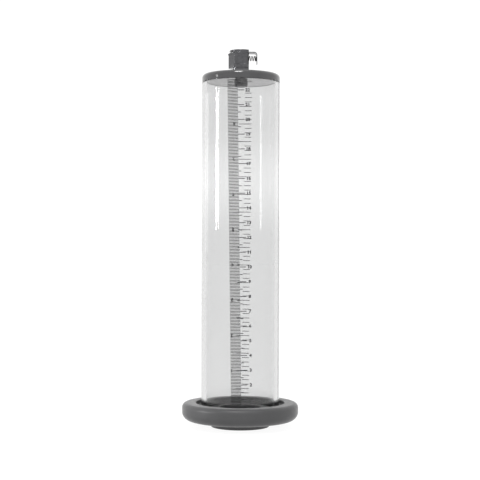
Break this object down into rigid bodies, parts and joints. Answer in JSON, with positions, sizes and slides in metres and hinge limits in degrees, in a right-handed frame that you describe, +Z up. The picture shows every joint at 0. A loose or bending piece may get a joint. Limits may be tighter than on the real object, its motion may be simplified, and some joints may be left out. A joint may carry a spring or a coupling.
{
  "type": "graduated vacuum cylinder",
  "caption": "Clear graduated cylinder with a bonded black cap, a quick-release hose coupling with a thumb latch, and a soft black sealing sleeve round its open bottom end.",
  "frame": {"origin": "centre of the sealing sleeve's bottom face, on the tube's axis, where the object stands", "axes": "+Z up along the tube towards the coupling, +X towards the coupling's thumb tab, -Y towards the centimetre scale"},
  "size_m": [0.0812, 0.0812, 0.2627],
  "materials": {
    "clear_acrylic": "polished clear",
    "black_acrylic": "polished",
    "black_rubber": "matte, moulded",
    "seal_rubber": "satin",
    "dark_metal": "dark nickel plating, satin",
    "spring_steel": "bright drawn wire and sheet",
    "white_plastic": "moulded",
    "ink": "printed ink"
  },
  "bodies": {
    "sleeve": {"seal_sleeve": "black_rubber"},
    "cylinder": {"tube": "clear_acrylic", "cap": "black_acrylic", "seal_washer": "seal_rubber", "threaded_base": "dark_metal", "base_seal": "seal_rubber", "coupling_body": "dark_metal", "insert_seal": "seal_rubber", "latch_stop_pin": "spring_steel", "latch_spring": "spring_steel", "poppet_spring": "spring_steel"},
    "latch": {"latch_plate": "spring_steel"},
    "valve": {"poppet": "white_plastic", "poppet_seal": "seal_rubber"}
  },
  "joints": [
    {"name": "cylinder_pull", "type": "slide", "parent": "sleeve", "child": "cylinder", "axis": [0, 0, 1], "range_m": [0, 0.04]},
    {"name": "latch_press", "type": "slide", "parent": "cylinder", "child": "latch", "axis": [-1, 0, 0], "range_m": [0, 0.002], "stiffness_N_per_m": 600, "springref_m": -0.003, "deforming": ["latch_spring"]},
    {"name": "poppet_open", "type": "slide", "parent": "cylinder", "child": "valve", "axis": [0, 0, -1], "range_m": [0, 0.0025], "stiffness_N_per_m": 400, "springref_m": -0.003, "deforming": ["poppet_spring"]}
  ]
}
